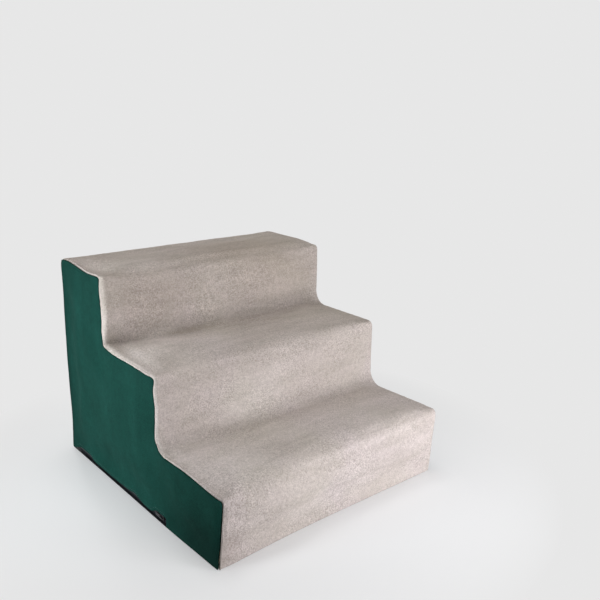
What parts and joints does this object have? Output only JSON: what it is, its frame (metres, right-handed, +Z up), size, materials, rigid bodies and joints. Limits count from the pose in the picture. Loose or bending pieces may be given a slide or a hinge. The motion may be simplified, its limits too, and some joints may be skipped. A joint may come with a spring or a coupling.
{
  "type": "pet stairs",
  "caption": "Low foam pet stairs with plush treads and risers, velvet sides and a zip round the base, for a dog to climb to a sofa or bed.",
  "frame": {"origin": "on the floor, at the middle of the bounding box's underside", "axes": "+Z up, +Y to the tall rear face, +X to the right as seen from the low front step"},
  "size_m": [0.3898, 0.4115, 0.3099],
  "materials": {
    "foam": "open-cell upholstery foam",
    "plush": "short greige plush pile",
    "velvet": "short dark green velvet",
    "base_cloth": "black cloth with raised grip dots",
    "zip_tape": "woven black tape",
    "zip_teeth": "satin black moulded plastic",
    "zip_metal": "dark painted die-cast metal"
  },
  "bodies": {
    "stairs": {"core_block_lower": "foam", "core_block_middle": "foam", "core_block_upper": "foam", "steps_panel": "plush", "left_side_panel": "velvet", "right_side_panel": "velvet", "back_panel": "velvet", "base_panel": "base_cloth", "zip_tape_upper": "zip_tape", "zip_tape_lower": "zip_tape", "zip_teeth_upper": "zip_teeth", "zip_teeth_lower": "zip_teeth", "zip_top_stops": "zip_teeth", "zip_bottom_stop": "zip_teeth"},
    "slider": {"zip_slider": "zip_metal"},
    "pull": {"zip_pull": "zip_metal"}
  },
  "joints": [
    {"name": "zip_slide", "type": "slide", "parent": "stairs", "child": "slider", "axis": [0, 1, 0], "range_m": [0, 0.235], "deforming": ["zip_teeth_upper", "zip_teeth_lower"]},
    {"name": "zip_pull_swing", "type": "hinge", "parent": "slider", "child": "pull", "pos_m": [-0.19275, -0.07144, 0.0075], "axis": [0, 0, 1], "range_deg": [0, 160]}
  ]
}
